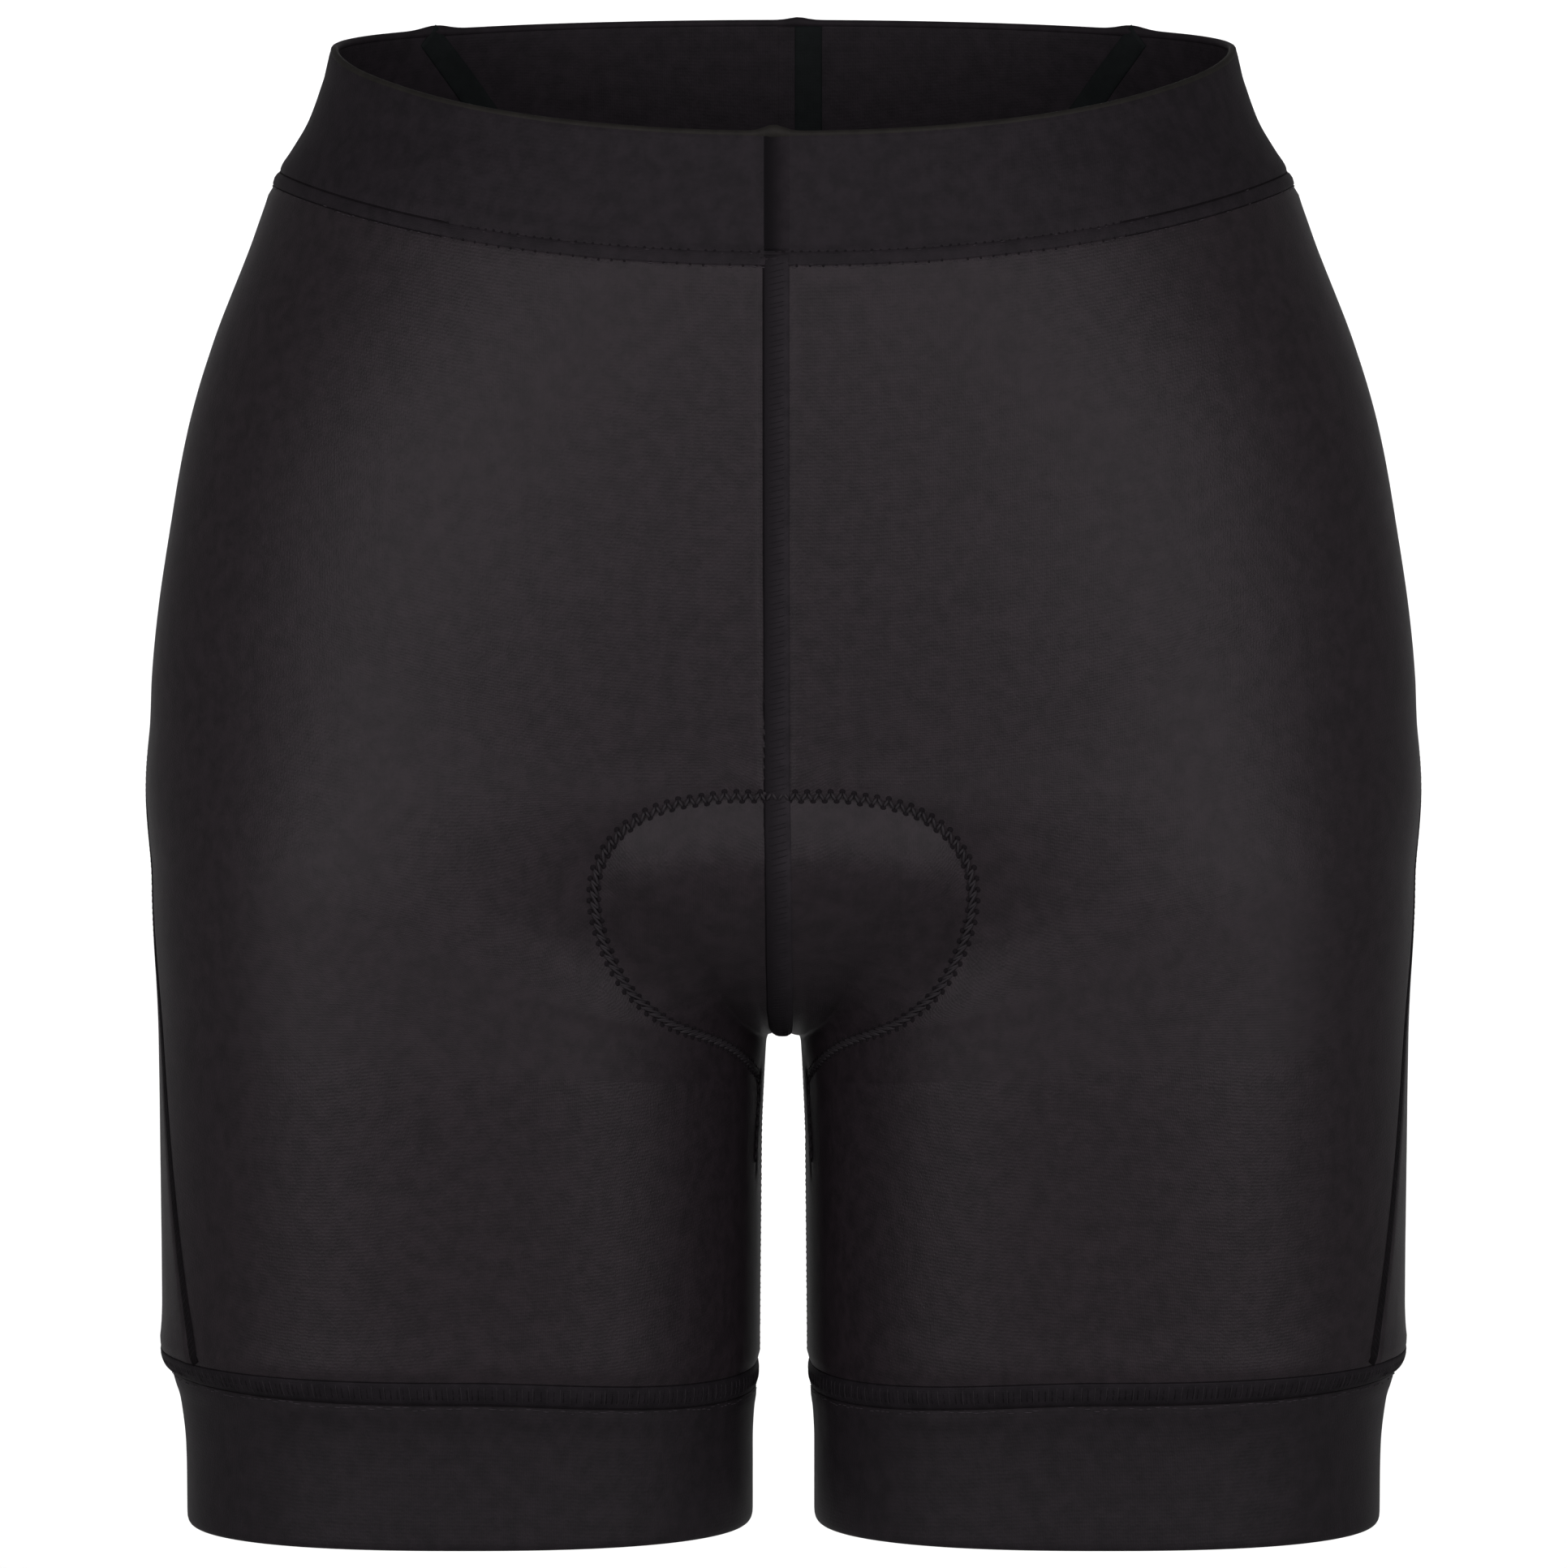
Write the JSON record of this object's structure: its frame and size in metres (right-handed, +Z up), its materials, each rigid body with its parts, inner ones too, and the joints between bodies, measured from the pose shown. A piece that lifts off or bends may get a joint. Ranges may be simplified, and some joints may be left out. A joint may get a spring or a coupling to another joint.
{
  "type": "cycling shorts",
  "caption": "Tight knitted cycling shorts in their worn form, with a shaped waistband, centre and side seams, a stitched-in seat pad and leg cuffs.",
  "frame": {"origin": "middle of the waist opening, level with its sides, where the wearer holds the shorts up", "axes": "+Z up out of the waist, +X to the wearer's left, -Y to the front"},
  "size_m": [0.3554, 0.2264, 0.4189],
  "materials": {
    "knit": "fine matt stretch knit with a soft sheen",
    "band": "doubled matt stretch knit",
    "cuff": "smooth stretch knit",
    "pad": "brushed knit over foam"
  },
  "bodies": {
    "root": {"front_left": "knit", "front_right": "knit", "back_left": "knit", "back_right": "knit", "waistband_front_left": "band", "waistband_front_right": "band", "waistband_back_left": "band", "waistband_back_right": "band", "cuff_left": "cuff", "cuff_right": "cuff", "seat_pad": "pad"}
  },
  "joints": []
}
